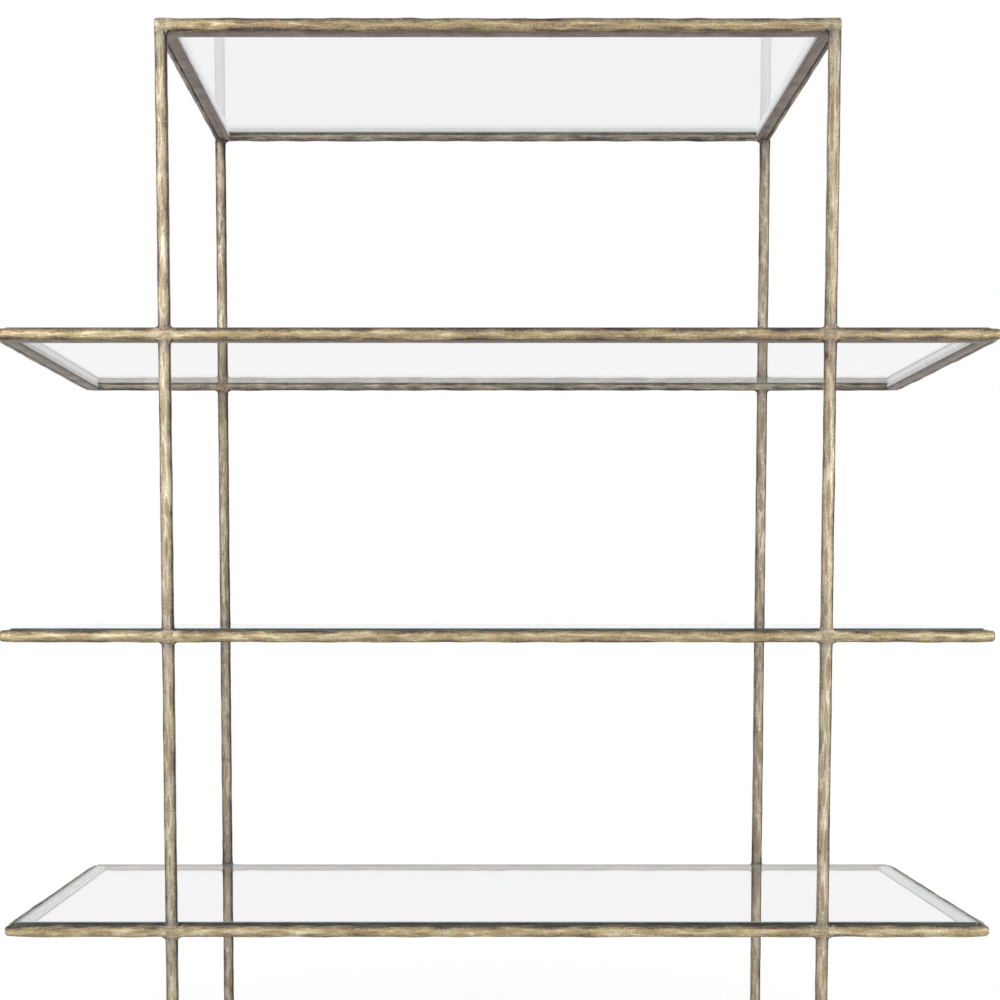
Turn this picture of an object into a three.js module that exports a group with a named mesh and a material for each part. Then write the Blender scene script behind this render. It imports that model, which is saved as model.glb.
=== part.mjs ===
import * as THREE from 'three';

// Overall sizes, in millimetres. +X is the right-hand side, -Y the front, +Z up.
const OUTER_WIDTH = 1524;
const OUTER_DEPTH = 457;
const POST_SPACING = 1008;
const LEVEL_PITCH = 457;
const FOOT_HEIGHT = 70;

// Hammered flat bar that the rails, posts and feet are cut from.
const BAR_FACE = 19;
const BAR_THICKNESS = 10;
const BAR_CORNER = 2.5;
const RAIL_END_ROUND = 2;

// Inner ledge that carries the glass at the front and sides, and its tack welds.
const LEDGE_WIDTH = 15;
const LEDGE_THICKNESS = 10.5;
const LEDGE_RISE = 1.5;
const LEDGE_GAP = 2;
const TACK_LENGTH = 14;
const TACK_PITCH = 250;
const SIDE_TACKS = 2;

// Loose glass panes.
const GLASS_THICKNESS = 9.5;
const GLASS_CLEARANCE = 2;
const GLASS_CORNER = 4;
const GLASS_ARRIS = 1;

// Moulded pads under the feet, a little smaller than the bar all round.
const GLIDE_HEIGHT = 5;
const GLIDE_INSET = 0.5;
const GLIDE_ROUND = 1;

// Level names from the floor up, and whether the frame runs past the posts.
const LEVELS = [
  { name: 'base', wide: false },
  { name: 'lower', wide: true },
  { name: 'middle', wide: true },
  { name: 'upper', wide: true },
  { name: 'top', wide: false },
];
const SIDES = [
  { name: 'left', sign: -1 },
  { name: 'right', sign: 1 },
];
const FACES = [
  { name: 'front', sign: -1 },
  { name: 'back', sign: 1 },
];

// Facets to half a rounded corner and to the round of an end.
const CORNER_FACETS = 2;
const END_FACETS = 2;

// Derived sizes.
const NARROW_WIDTH = POST_SPACING + BAR_FACE;
const POST_X = POST_SPACING / 2;
const POST_Y = (OUTER_DEPTH - BAR_THICKNESS) / 2;
const POST_LENGTH = LEVEL_PITCH - BAR_FACE;
const SIDE_RAIL_LENGTH = OUTER_DEPTH - BAR_THICKNESS * 2;
const FRAME_BOTTOM = GLIDE_HEIGHT + FOOT_HEIGHT;

const etagere = new THREE.Group();
etagere.name = 'etagere';

// Finishes.
function brass() {
  return new THREE.MeshStandardMaterial({ color: 0xa18a62, roughness: 0.42, metalness: 0.9 });
}

function darkBrass() {
  return new THREE.MeshStandardMaterial({ color: 0x84756a, roughness: 0.55, metalness: 0.85 });
}

function clearGlass() {
  return new THREE.MeshStandardMaterial({
    color: 0xdfeee9,
    roughness: 0.05,
    metalness: 0,
    transparent: true,
    opacity: 0.35,
  });
}

function darkPlastic() {
  return new THREE.MeshStandardMaterial({ color: 0x2b2926, roughness: 0.7, metalness: 0 });
}

function add(name, geometry, material, x, y, z) {
  geometry.translate(x, y, z);
  const mesh = new THREE.Mesh(geometry, material);
  mesh.name = name;
  etagere.add(mesh);
}

// Rectangle with rounded corners, centred on the origin.
function roundedRectangle(sizeX, sizeY, corner) {
  const x = sizeX / 2;
  const y = sizeY / 2;
  const shape = new THREE.Shape();
  shape.moveTo(-x + corner, -y);
  shape.lineTo(x - corner, -y);
  shape.absarc(x - corner, -y + corner, corner, -Math.PI / 2, 0, false);
  shape.lineTo(x, y - corner);
  shape.absarc(x - corner, y - corner, corner, 0, Math.PI / 2, false);
  shape.lineTo(-x + corner, y);
  shape.absarc(-x + corner, y - corner, corner, Math.PI / 2, Math.PI, false);
  shape.lineTo(-x, -y + corner);
  shape.absarc(-x + corner, -y + corner, corner, Math.PI, Math.PI * 1.5, false);
  return shape;
}

// Upright bar, centred on the origin. Its ends are square, or rounded by endRound.
function bar(sizeX, sizeY, length, endRound) {
  const geometry = new THREE.ExtrudeGeometry(roundedRectangle(sizeX, sizeY, BAR_CORNER), {
    depth: length - endRound * 2,
    bevelEnabled: endRound > 0,
    bevelThickness: endRound,
    bevelSize: endRound,
    bevelOffset: -endRound,
    bevelSegments: END_FACETS,
    curveSegments: CORNER_FACETS,
    steps: 1,
  });
  geometry.translate(0, 0, endRound - length / 2);
  return geometry;
}

// Evenly spread centres of count pieces along a span.
function spread(count, span) {
  return Array.from({ length: count }, (_, i) => span * ((i + 0.5) / count - 0.5));
}

// Outline of the ledge: left arm, front and right arm, with a tab for each tack, out to the rails.
function ledgeOutline(sizeX, sizeY, longTacks, shortTacks) {
  const x = sizeX / 2;
  const y = sizeY / 2;
  const half = TACK_LENGTH / 2;
  const innerX = x - LEDGE_WIDTH;
  const innerY = LEDGE_WIDTH - y;
  const points = [];
  const edges = [
    { corner: [-x, y], along: [0, -1], out: [-1, 0], centres: spread(shortTacks, sizeY), middle: [-x, 0] },
    { corner: [-x, -y], along: [1, 0], out: [0, -1], centres: spread(longTacks, sizeX), middle: [0, -y] },
    { corner: [x, -y], along: [0, 1], out: [1, 0], centres: spread(shortTacks, sizeY), middle: [x, 0] },
  ];
  for (const edge of edges) {
    points.push(new THREE.Vector2(...edge.corner));
    for (const centre of edge.centres) {
      for (const [shift, reach] of [[-half, 0], [-half, LEDGE_GAP], [half, LEDGE_GAP], [half, 0]]) {
        points.push(new THREE.Vector2(
          edge.middle[0] + edge.along[0] * (centre + shift) + edge.out[0] * reach,
          edge.middle[1] + edge.along[1] * (centre + shift) + edge.out[1] * reach,
        ));
      }
    }
  }
  for (const corner of [[x, y], [innerX, y], [innerX, innerY], [-innerX, innerY], [-innerX, y]]) {
    points.push(new THREE.Vector2(...corner));
  }
  return new THREE.Shape(points);
}

// Three-sided flat bar with its tacks, open at the back, standing on z = 0.
function ledge(insideX, insideY) {
  const sizeX = insideX - LEDGE_GAP * 2;
  const sizeY = insideY - LEDGE_GAP * 2;
  const longTacks = Math.max(SIDE_TACKS, Math.round(sizeX / TACK_PITCH));
  const outline = ledgeOutline(sizeX, sizeY, longTacks, SIDE_TACKS);
  return new THREE.ExtrudeGeometry(outline, { depth: LEDGE_THICKNESS, bevelEnabled: false, steps: 1 });
}

// Glass pane with ground edges, standing on z = 0.
function pane(sizeX, sizeY) {
  const geometry = new THREE.ExtrudeGeometry(roundedRectangle(sizeX, sizeY, GLASS_CORNER), {
    depth: GLASS_THICKNESS - GLASS_ARRIS * 2,
    bevelEnabled: true,
    bevelThickness: GLASS_ARRIS,
    bevelSize: GLASS_ARRIS,
    bevelOffset: -GLASS_ARRIS,
    bevelSegments: 1,
    curveSegments: CORNER_FACETS,
    steps: 1,
  });
  geometry.translate(0, 0, GLASS_ARRIS);
  return geometry;
}

// Shelf frames, ledges and glass.
LEVELS.forEach((level, index) => {
  const bottom = FRAME_BOTTOM + LEVEL_PITCH * index;
  const middle = bottom + BAR_FACE / 2;
  const width = level.wide ? OUTER_WIDTH : NARROW_WIDTH;
  const insideX = width - BAR_THICKNESS * 2;
  const insideY = SIDE_RAIL_LENGTH;
  const ledgeBottom = bottom + LEDGE_RISE;
  const glassBottom = ledgeBottom + LEDGE_THICKNESS;

  for (const face of FACES) {
    const rail = bar(BAR_FACE, BAR_THICKNESS, width, RAIL_END_ROUND);
    rail.rotateY(Math.PI / 2);
    add(`rail_${face.name}_${level.name}`, rail, brass(), 0, face.sign * POST_Y, middle);
  }
  for (const side of SIDES) {
    const rail = bar(BAR_THICKNESS, BAR_FACE, SIDE_RAIL_LENGTH, 0);
    rail.rotateX(Math.PI / 2);
    const x = side.sign * (width - BAR_THICKNESS) / 2;
    add(`rail_${side.name}_${level.name}`, rail, brass(), x, 0, middle);
  }
  add(`ledge_${level.name}`, ledge(insideX, insideY), darkBrass(), 0, 0, ledgeBottom);
  const glass = pane(insideX - GLASS_CLEARANCE * 2, insideY - GLASS_CLEARANCE * 2);
  add(`glass_${level.name}`, glass, clearGlass(), 0, 0, glassBottom);
});

// Posts, numbered by storey from the floor up: one storey above each level but the top one.
LEVELS.slice(0, -1).forEach((level, index) => {
  const middle = FRAME_BOTTOM + LEVEL_PITCH * index + BAR_FACE + POST_LENGTH / 2;
  for (const face of FACES) {
    for (const side of SIDES) {
      const post = bar(BAR_FACE, BAR_THICKNESS, POST_LENGTH, 0);
      const x = side.sign * POST_X;
      add(`post_${face.name}_${side.name}_${index + 1}`, post, brass(), x, face.sign * POST_Y, middle);
    }
  }
});

// Feet and their glides.
for (const face of FACES) {
  for (const side of SIDES) {
    const x = side.sign * POST_X;
    const y = face.sign * POST_Y;
    const foot = bar(BAR_FACE, BAR_THICKNESS, FOOT_HEIGHT, 0);
    add(`foot_${face.name}_${side.name}`, foot, brass(), x, y, GLIDE_HEIGHT + FOOT_HEIGHT / 2);

    const glideX = BAR_FACE - GLIDE_INSET * 2;
    const glideY = BAR_THICKNESS - GLIDE_INSET * 2;
    const glide = bar(glideX, glideY, GLIDE_HEIGHT, GLIDE_ROUND);
    add(`glide_${face.name}_${side.name}`, glide, darkPlastic(), x, y, GLIDE_HEIGHT / 2);
  }
}

export default etagere;
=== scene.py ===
import math

import bpy
import numpy as np
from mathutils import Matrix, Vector


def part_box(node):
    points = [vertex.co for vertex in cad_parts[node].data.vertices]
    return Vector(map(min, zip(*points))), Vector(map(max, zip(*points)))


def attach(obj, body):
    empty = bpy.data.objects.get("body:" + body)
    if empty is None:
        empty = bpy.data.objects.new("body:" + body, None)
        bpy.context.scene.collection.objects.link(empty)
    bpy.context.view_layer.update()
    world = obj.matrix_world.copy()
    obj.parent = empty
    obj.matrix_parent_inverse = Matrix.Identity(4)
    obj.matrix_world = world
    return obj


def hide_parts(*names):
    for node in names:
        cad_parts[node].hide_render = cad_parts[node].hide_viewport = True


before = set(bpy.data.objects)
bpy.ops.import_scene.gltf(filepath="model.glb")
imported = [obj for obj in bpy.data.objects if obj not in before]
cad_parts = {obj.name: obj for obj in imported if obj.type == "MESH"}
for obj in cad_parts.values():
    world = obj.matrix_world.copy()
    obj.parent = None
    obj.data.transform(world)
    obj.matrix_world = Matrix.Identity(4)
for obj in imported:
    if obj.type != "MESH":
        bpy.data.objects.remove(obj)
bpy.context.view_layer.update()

MM = 0.001

# Levels from the floor up, and the sides of the object.
LEVELS = ("base", "lower", "middle", "upper", "top")
WIDE_LEVELS = ("lower", "middle", "upper")
FACES = ("front", "back")
SIDES = ("left", "right")
STOREYS = (1, 2, 3, 4)

# Random seeds of the pieces.
SEEDS = {"rail": 100, "side_rail": 200, "post": 300, "foot": 400, "ledge": 500, "mound": 600}
DENT_SEED = 5000

# Signs of a rounded rectangle's corners, and the half turns at which they start.
CORNERS = ((1, -1, -0.5), (1, 1, 0.0), (-1, 1, 0.5), (-1, -1, 1.0))

# Mesh density of the hammered bars.
RING_STEP = 3.2 * MM
WIDE_FACE_POINTS = 9
THIN_FACE_POINTS = 6
CORNER_POINTS = 4
FREE_END_RINGS = 6
FILLET_RINGS = 7

# Section of the bars.
BAR_CORNER = 2.9 * MM
SIDE_RAIL_CORNER = 1.5 * MM
FACE_CROWN = 1.7 * MM
SIDE_CROWN = 0.5 * MM
SWELL = 0.15 * MM

# Hammering: long blows in two rows on each face, and small blows on top.
LONG_BLOWS = {
    "spacing": 19 * MM,
    "length": (18 * MM, 50 * MM),
    "share": (0.26, 0.5),
    "depth": (0.3 * MM, 0.85 * MM),
}
SMALL_BLOWS = {
    "spacing": 6 * MM,
    "length": (4 * MM, 10 * MM),
    "share": (0.15, 0.35),
    "depth": (0.05 * MM, 0.2 * MM),
}
BLOW_OFFSET = (0.1, 0.4)
BLOW_STEP = (0.55, 1.4)
BLOW_SIDE_CHANGE = 0.8
BLOW_FACING = (0.25, 0.6)

# How strong the blows are on the thin and on the wide faces. Feet count as posts, here and below.
THIN_BLOWS = {"post": 0.45, "rail": 1.0}
WIDE_BLOWS = {"post": 0.8, "rail": 1.0}

# Single dents on the wide faces: pointed lenses, brown inside a pale rim.
DENT_SPACING = {"post": 52 * MM, "rail": 100 * MM}
DENT_STEP = (0.5, 1.6)
DENT_LENGTH = (14 * MM, 33 * MM)
DENT_WIDTH = (2.2 * MM, 4.0 * MM)
DENT_DEPTH = 0.35 * MM
DENT_OFFSET = 0.4
DENT_POINT = 1.4
DENT_FACING = 0.8
DENT_WELD_FADE = 2
DENT_MARK = {"post": 0.75, "rail": 0.16}

# Long waves of the bar's edges, and their share in its wide and in its thin direction.
WAVE_LENGTHS = (61 * MM, 97 * MM, 158 * MM, 290 * MM)
WAVE_STRETCH = (0.85, 1.2)
WAVE_HEIGHT = {"post": 0.24 * MM, "rail": 0.5 * MM}
WAVE_WIDE = 0.75
WAVE_THIN = 0.5

# The grain runs along the bar: its length counts this much in the patina's noise.
GRAIN_STRETCH = 0.09

# Painted light and shade: how much lighter or darker each kind of bar is painted than the common tone, the
# front bars lighter and the back and side rails darker.
PAINTED_LIGHT_BY_KIND = {
    "post_front": 0.145,
    "post_back": 0.01,
    "rail_front": 0.07,
    "rail_back": -0.04,
    "rail_side": -0.06,
}
PAINTED_LIGHT_WEIGHT = 2

# Painted light: how much lighter the posts on the right are painted, and some front rails.
RIGHT_POST_PAINTED_LIGHT = 0.07
FRONT_RAIL_PAINTED_LIGHT = {"rail_front_middle": 0.075, "rail_front_lower": 0.07}

# How deep a blow holds the dark patina in full.
DARK_DEPTH = 0.9 * MM

# How far each kind of bar has lost its yellow towards a pinkish grey.
BLUSH = {
    "post_front": 0.38,
    "post_back": 0.6,
    "rail_front": -0.08,
    "rail_back": 0.9,
    "rail_side": 0.85,
}

# Painted shade on the corners and edges: where it begins, and over which share it comes up.
CORNER_TURN = (0.72, 0.27)
NEAR_EDGE = (0.3, 0.4)
NEAR_EDGE_DARK = 0.4
THIN_TURN = (0.75, 0.2)

# Share of painted shade on the thin faces of the bars, and on those of the side rails.
THIN_DARK = 0.55
SIDE_THIN_DARK = 0.12

# Painted shade: on a bar that lies flat, its upper edge is painted darker than its lower one.
TOP_EDGE_DARK = 1.55
LOW_EDGE_DARK = 0.75

# Painted shade: on a bar whose wide direction is across the object, the dark line along its left and right
# edge, heavier on the right, the side turned away from the key light.
LEFT_EDGE_DARK = 1.45
RIGHT_EDGE_DARK = 2.3

# Painted shade: rails whose upper part is painted dark all along, how dark, and from which share of the half
# height up.
DARK_BANDS = {"rail_front_top": 0.6, "rail_front_middle": 0.65, "rail_front_lower": 0.3}
DARK_BAND_FROM = 0.6
DARK_BAND_EDGE = 0.2
DARK_BAND_WAVE = 0.14

# Free ends: their round, and how the rails that run past the posts thin out.
FREE_END_ROUND = 4 * MM
FREE_END_SPREAD = 1.6
END_TAPER_LENGTH = 26 * MM
END_TAPER = 1.4 * MM
END_TAPER_THIN = 0.5
END_TAPER_CURVE = 1.6

# Welded ends: a post's fillet on its rails, and how far an end runs into its neighbour.
POST_FILLET = 5.5 * MM
SIDE_FILLET = 0.5 * MM
WELD_DEPTH = 5 * MM
WELD_DIVE = 1.4 * MM

# How far the ends of the side rails draw in, so that they stay inside the front and back rails.
SIDE_DIVE_LENGTH = 15 * MM
SIDE_DIVE = {"wide": 2.8 * MM, "narrow": 1.0 * MM}
SIDE_DIVE_CURVE = 1.5

# Near a weld: fewer blows, a brown tinge, a duller finish, less yellow and no painted shade on the edges.
WELD_SPREAD = 18 * MM
WELD_CALM = 0.85
HEAT_REACH = 15 * MM
WELD_DULL = {"post": 1.2, "rail": 0.35}
WELD_BLUSH = 0.6
WELD_UNSHADED = 0.85

# Brazed mounds over the crossings.
MOUND_SPOKES = 96
MOUND_RINGS = 14
MOUND_RING_CURVE = 1.35
MOUND_RISE = 0.05 * MM
MOUND_SINK = 0.5 * MM
MOUND_FADE_FROM = 0.4
MOUND_ROUND = 3.0 * MM
MOUND_OUTER_CORNER = 5.0 * MM
MOUND_LUMPS = 14
MOUND_LUMP = 0.22 * MM
MOUND_LUMP_REACH = (3, 7)
MOUND_BLUSH = 0.22
MOUND_WEAR = 0.42
MOUND_LUMP_WEAR = 0.25
# Painted shade: the mound is darker where its face follows the bars' crowns, and towards its rounded edge.
MOUND_CROWN_SHADE = 0.2
MOUND_EDGE_DARK = 0.7
MOUND_HEAT = 0.38
MOUND_HEAT_FADE = 0.5
MOUND_GRAIN = 300
REACH_STEPS = 24

# Ledge bars, and the seams and tacks that hold them to the rails.
LEDGE_WIDTH = 15 * MM
LEDGE_BAR = 6 * MM
LEDGE_GAP = 2 * MM
LEDGE_OVERHANG = 1.9 * MM
LEDGE_SAG = 0.8 * MM
LEDGE_EDGE = 0.6 * MM
LEDGE_OUTER_CORNER = 1 * MM
LEDGE_INNER_CORNER = 5 * MM
LEDGE_CORNER_STEPS = 6
LEDGE_STEP = 12 * MM
LEDGE_SWAY = 0.132 * MM
SWAY_TURNS = (0.37, 0.11)
SEAM_BEAD = 0.8 * MM
TACK_LENGTH = 11 * MM
TACK_PITCH = 250 * MM
SIDE_TACKS = 2
TACK_HEIGHT = 3.4 * MM
TACK_ROWS = 7
TACK_COLUMNS = 12
TACK_STRETCH = (0.8, 1.2)
TACK_RIPPLE = 0.12
TACK_WAVE = 0.08
LUMP_STEP = (9 * MM, 34 * MM)
LUMP_LENGTH = (2.5 * MM, 6 * MM)

# Pale strip between a ledge and its pane, and the strip's lip down the inner side of the ledge.
STRIP_INSET = 0.5 * MM
STRIP_GAP = 0.25 * MM
STRIP_EDGE = 0.5 * MM
STRIP_CORNER = 2 * MM
LIP_THICKNESS = 0.7 * MM
LIP_GAP = 0.05 * MM
LIP_RAISE = 3 * MM

# Glass panes. Faces that lie less flat than the last value are ground edges.
GLASS_CORNER = 4 * MM
GLASS_INNER_CORNER = 0.8 * MM
GLASS_CORNER_POINTS = 5
GLASS_SIDE_POINTS = 4
GLASS_ARRIS = 1.1 * MM
GLASS_BORDER = 34 * MM
GLASS_FLAT = 0.9

# Floor: it is white by itself beyond these distances from the object, and lit and shadowed nearer.
FLOOR_HALF = 40.0
FLOOR_GREY = 0.8
FLOOR_FADE = (0.8, 1.7)
FLOOR_LIFT = 0.35

# World: how much it lights the object. Where it is seen, it is white.
WORLD_LIGHT = 0.55

# Lamps: name, place, width and height, power, and whether metal and glass mirror them.
LIGHTS = (
    ("key", (-2.9, -3.9, 2.8), (4.2, 3.6), 102, True),
    ("fill", (3.6, -3.2, 1.7), (3.0, 3.2), 56, True),
    ("rim", (0.5, 2.2, 5.4), (4.5, 3.0), 55, False),
)
LIGHT_AIM = (0, 0, 1.0)

# Lamps fade from their middle to their rim: how bright the middle is, and where the fade lies.
SOFT_PEAK = 3.0
SOFT_FADE = (0.05, 0.5)

# Camera: the place, turn and lens that the photograph's perspective gives.
CAMERA_PLACE = (-0.0397, -2.1417, 1.0492)
CAMERA_DOWN_DEG = 2.898
CAMERA_SENSOR = 36.0
CAMERA_LENS = 45.09
CAMERA_SHIFT = (0.0287, 0.1665)


# Small helpers.

def rise(values, start, width):
    """0 below start, and up to 1 over the width after it."""
    return np.clip((values - start) / width, 0, 1)


def box_of(node):
    lo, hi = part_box(node)
    return np.array(lo), np.array(hi)


def spread(count, span):
    """Evenly spread places of count things along a span, centred on 0."""
    return [span * ((i + 0.5) / count - 0.5) for i in range(count)]


def rounded_loop(half_x, half_y, corner, side_points, corner_points):
    """Points and outward normals of a rounded rectangle, counter-clockwise, the same count for any size."""
    points, normals = [], []
    for i, (sign_x, sign_y, turn) in enumerate(CORNERS):
        centre = np.array((sign_x * (half_x - corner), sign_y * (half_y - corner)))
        for k in range(corner_points):
            angle = math.pi * (turn + 0.5 * k / (corner_points - 1))
            normal = np.array((math.cos(angle), math.sin(angle)))
            normals.append(normal)
            points.append(centre + corner * normal)
        next_x, next_y, _ = CORNERS[(i + 1) % 4]
        start = points[-1]
        goal = np.array((next_x * (half_x - corner), next_y * (half_y - corner))) + corner * normal
        steps = side_points[i % 2]
        for k in range(1, steps):
            points.append(start + (goal - start) * k / steps)
            normals.append(normal)
    return np.array(points), np.array(normals)


def tube_faces(rings, count, caps=True):
    """Faces between closed rings of count points each, and over both ends."""
    faces = []
    for i in range(rings - 1):
        for k in range(count):
            a, b = i * count + k, i * count + (k + 1) % count
            faces.append((a, b, b + count, a + count))
    if caps:
        faces.append(tuple(range(count))[::-1])
        faces.append(tuple((rings - 1) * count + k for k in range(count)))
    return faces


def join(vertices, faces, more_vertices, more_faces):
    """Put another part's points and faces behind those that are there."""
    base = len(vertices)
    vertices += more_vertices
    faces += [tuple(base + i for i in face) for face in more_faces]


def add_attribute(mesh, name, values):
    """Store a number or a vector for each point of the mesh."""
    if values.ndim == 2:
        attribute = mesh.attributes.new(name, "FLOAT_VECTOR", "POINT")
        attribute.data.foreach_set("vector", values.astype(np.float32).ravel())
    else:
        attribute = mesh.attributes.new(name, "FLOAT", "POINT")
        attribute.data.foreach_set("value", values.astype(np.float32))


def new_object(name, data):
    item = bpy.data.objects.new(name, data)
    bpy.context.scene.collection.objects.link(item)
    return item


def new_piece(name, vertices, faces, material, body, replaced, smooth=True):
    mesh = bpy.data.meshes.new(name)
    mesh.from_pydata([tuple(v) for v in vertices], [], faces)
    mesh.materials.append(material)
    mesh.polygons.foreach_set("use_smooth", [smooth] * len(mesh.polygons))
    mesh.update()
    piece = new_object(name, mesh)
    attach(piece, body)
    if replaced:
        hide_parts(replaced)
    return piece


# Materials.

def colour(red, green, blue):
    """A colour written as 0 to 255, as the linear values that a shader takes."""
    def linear(x):
        x /= 255
        return x / 12.92 if x <= 0.04045 else ((x + 0.055) / 1.055) ** 2.4
    return (linear(red), linear(green), linear(blue), 1)


def grey(value):
    return (value, value, value, 1)


class Nodes:
    """Short calls for building the nodes of a material, a lamp or the world."""

    def __init__(self, tree):
        self.tree = tree

    def add(self, kind, inputs=None, **settings):
        node = self.tree.nodes.new(kind)
        for key, value in settings.items():
            setattr(node, key, value)
        for key, value in (inputs or {}).items():
            self.set(node.inputs[key], value)
        return node

    def set(self, socket, value):
        if isinstance(value, bpy.types.NodeSocket):
            self.tree.links.new(value, socket)
        else:
            socket.default_value = value

    def attribute(self, name, socket="Fac"):
        return self.add("ShaderNodeAttribute", attribute_name=name).outputs[socket]

    def place(self):
        return self.add("ShaderNodeTexCoord").outputs["Object"]

    def noise(self, vector, scale, detail=3.0, roughness=0.55):
        inputs = {"Vector": vector, "Scale": scale, "Detail": detail, "Roughness": roughness}
        return self.add("ShaderNodeTexNoise", inputs).outputs["Fac"]

    def math(self, operation, a, b=0.0, clamp=False):
        return self.add("ShaderNodeMath", {0: a, 1: b}, operation=operation, use_clamp=clamp).outputs[0]

    def plus(self, a, b):
        return self.math("ADD", a, b)

    def minus(self, a, b, clamp=False):
        return self.math("SUBTRACT", a, b, clamp)

    def times(self, a, b, clamp=False):
        return self.math("MULTIPLY", a, b, clamp)

    def vector_math(self, operation, inputs, output):
        return self.add("ShaderNodeVectorMath", inputs, operation=operation).outputs[output]

    def smooth_step(self, value, span, low=0.0, high=1.0):
        """From low to high as the value crosses the span, smoothly."""
        inputs = {"Value": value, "From Min": span[0], "From Max": span[1], "To Min": low, "To Max": high}
        return self.add("ShaderNodeMapRange", inputs, interpolation_type="SMOOTHSTEP").outputs["Result"]

    def ramp(self, fac, stops):
        node = self.add("ShaderNodeValToRGB", {"Fac": fac})
        elements = node.color_ramp.elements
        while len(elements) < len(stops):
            elements.new(0.5)
        for element, (place, value) in zip(elements, stops):
            element.position = place
            element.color = value
        return node.outputs["Color"]

    def mix(self, fac, a, b, blend="MIX"):
        node = self.add("ShaderNodeMix", data_type="RGBA", blend_type=blend)
        for index, value in ((0, fac), (6, a), (7, b)):
            self.set(node.inputs[index], value)
        return node.outputs[2]

    def bump(self, height, strength, distance):
        inputs = {"Height": height, "Strength": strength, "Distance": distance}
        return self.add("ShaderNodeBump", inputs).outputs["Normal"]

    def principled(self, inputs):
        return self.add("ShaderNodeBsdfPrincipled", inputs).outputs["BSDF"]


class MaterialNodes(Nodes):
    """The nodes of one new material."""

    def __init__(self, name):
        self.material = bpy.data.materials.new(name)
        self.material.use_nodes = True
        super().__init__(self.material.node_tree)
        self.tree.nodes.clear()
        self.output = self.tree.nodes.new("ShaderNodeOutputMaterial")

    def surface(self, shader):
        self.tree.links.new(shader, self.output.inputs["Surface"])
        return self.material


# Antique brass: tones of the patina from the dark recesses to the worn crowns.
PATINA = (
    (0.0, colour(64, 57, 58)),
    (0.22, colour(110, 97, 90)),
    (0.46, colour(156, 140, 108)),
    (0.68, colour(186, 171, 138)),
    (0.84, colour(212, 202, 178)),
    (1.0, colour(234, 228, 210)),
)
PATINA_ROUGHNESS = ((0.0, grey(0.62)), (0.6, grey(0.46)), (1.0, grey(0.42)))
BLUSH_TONE = colour(253, 247, 241)
PIT_TONE = colour(140, 118, 86)
HEAT_TONE = colour(126, 97, 81)

# What moves the patina's level, beside the noises: its base, how worn the bars are together with the painted
# light and shade of each kind of bar, the dents' rims, and the painted shade of the corners and edges.
LEVEL_BASE = 0.33
LEVEL_WEAR_AND_LIGHT = 0.36
LEVEL_RIM = 0.13
LEVEL_PAINTED_SHADE = 0.5

# A dent's rim lies a little outside it. Rim and pit come up this fast over the dent attribute.
RIM_PLACE = 0.15
DENT_SLOPE = 4.0
PIT_BASE = 0.1

# Streaks of warmer and of cooler hue: where they begin, how steeply they come up, share and tone.
HUE_GRAIN = 0.75
HUE_PATCH = 0.25
HUES = ((0.5, 3.2, 0.65, colour(255, 210, 196)), (0.48, -3.2, 0.85, colour(222, 242, 188)))

# How much yellow goes, how pink its patches are, and how strong the tinge of the welds is.
BLUSH_FADE = 0.6
BLUSH_PATCH = 1.6
HEAT_GAIN = 1.8


def brass_level(n, noises, rim):
    """How bright the patina is at a point, from 0 to 1, painted light and shade included. noises holds pairs
    of a noise and its weight.
    """
    level = n.times(n.attribute("wear_and_painted_light"), LEVEL_WEAR_AND_LIGHT)
    for noise, weight in noises:
        level = n.plus(level, n.times(n.minus(noise, 0.5), weight))
    level = n.plus(level, n.times(rim, LEVEL_RIM))
    level = n.plus(level, LEVEL_BASE)
    # The corner attribute is painted shade: it darkens the bars' corners, edges and thin faces.
    return n.minus(level, n.times(n.attribute("corner"), LEVEL_PAINTED_SHADE), clamp=True)


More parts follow.
